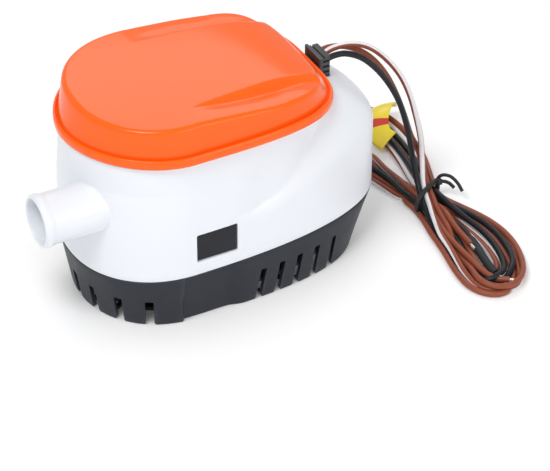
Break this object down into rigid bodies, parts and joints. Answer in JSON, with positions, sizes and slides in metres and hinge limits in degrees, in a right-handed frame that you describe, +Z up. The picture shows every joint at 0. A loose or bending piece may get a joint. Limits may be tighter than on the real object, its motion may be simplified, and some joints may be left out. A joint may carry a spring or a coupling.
{
  "type": "bilge pump",
  "caption": "Submersible automatic bilge pump: slotted strainer base, clip-on housing with a hose spout, domed cover and three hanked leads.",
  "frame": {"origin": "the mount base_underside: on the pump's lengthwise middle plane, on the underside of the strainer base, within 4 mm of the middle of the pump's bounding box without the leads", "axes": "+X from the hose spout towards the leads, +Y across the pump, +Z up"},
  "size_m": [0.2237, 0.171, 0.108],
  "materials": {
    "slate_plastic": "fine matte moulded",
    "white_plastic": "gloss moulded",
    "orange_plastic": "gloss moulded",
    "grey_plastic": "moulded",
    "black_plastic": "moulded",
    "black_rubber": "matte",
    "brown_insulation": "soft satin PVC",
    "black_insulation": "soft satin PVC",
    "white_insulation": "soft satin PVC with a brown stripe",
    "yellow_label": "coated label",
    "stainless": "bright",
    "zinc_steel": "plated",
    "lamination_steel": "stacked sheet",
    "sintered_bronze": "sintered",
    "bare_copper": "bright",
    "enamelled_copper": "enamelled",
    "carbon": "pressed carbon",
    "ferrite": "pressed ferrite",
    "green_board": "glass-fibre board",
    "clear_glass": "clear",
    "black_foam": "closed-cell foam"
  },
  "bodies": {
    "strainer": {"strainer_base": "slate_plastic", "wire_hank": "brown_insulation", "wire_tie": "black_rubber", "wire_tag": "yellow_label"},
    "pump_body": {"pump_housing": "white_plastic", "top_cover": "orange_plastic", "cover_gasket": "black_rubber", "inlet_plate": "grey_plastic", "motor_capsule": "grey_plastic", "capsule_seal": "black_rubber", "shaft_seal": "black_rubber", "capsule_screw_1": "stainless", "capsule_screw_2": "stainless", "capsule_screw_3": "stainless", "motor_can": "zinc_steel", "lower_bearing": "sintered_bronze", "upper_bearing": "sintered_bronze", "motor_end_cap": "black_plastic", "brush_left": "carbon", "brush_right": "carbon", "magnet_left": "ferrite", "magnet_right": "ferrite", "float_pin": "stainless", "switch_board": "green_board", "reed_switch": "clear_glass", "motor_lead_1": "brown_insulation", "motor_lead_2": "black_insulation", "strain_relief": "black_plastic", "brown_wire": "brown_insulation", "striped_wire": "white_insulation", "black_wire": "black_insulation"},
    "rotor": {"motor_shaft": "stainless", "armature_core": "lamination_steel", "armature_windings": "enamelled_copper", "commutator": "bare_copper", "impeller": "grey_plastic"},
    "float_lever": {"float": "black_foam", "float_arm": "grey_plastic", "float_magnet": "ferrite"},
    "latch_near": {"latch_tab_near": "black_plastic"},
    "latch_far": {"latch_tab_far": "black_plastic"}
  },
  "joints": [
    {"name": "pump_lift", "type": "slide", "parent": "strainer", "child": "pump_body", "axis": [0, 0, 1], "range_m": [0, 0.04]},
    {"name": "rotor_spin", "type": "hinge", "parent": "pump_body", "child": "rotor", "pos_m": [-0.025, 0, 0.06], "axis": [0, 0, 1], "continuous": true},
    {"name": "float_swing", "type": "hinge", "parent": "pump_body", "child": "float_lever", "pos_m": [0.016, 0, 0.046], "axis": [0, -1, 0], "range_deg": [0, 22]},
    {"name": "latch_near_press", "type": "hinge", "parent": "strainer", "child": "latch_near", "pos_m": [-0.01475, -0.0397, 0.02685], "axis": [-1, 0, 0], "range_deg": [0, 6], "stiffness_Nm_per_rad": 0.3},
    {"name": "latch_far_press", "type": "hinge", "parent": "strainer", "child": "latch_far", "pos_m": [-0.01475, 0.0397, 0.02685], "axis": [1, 0, 0], "range_deg": [0, 6], "stiffness_Nm_per_rad": 0.3}
  ]
}
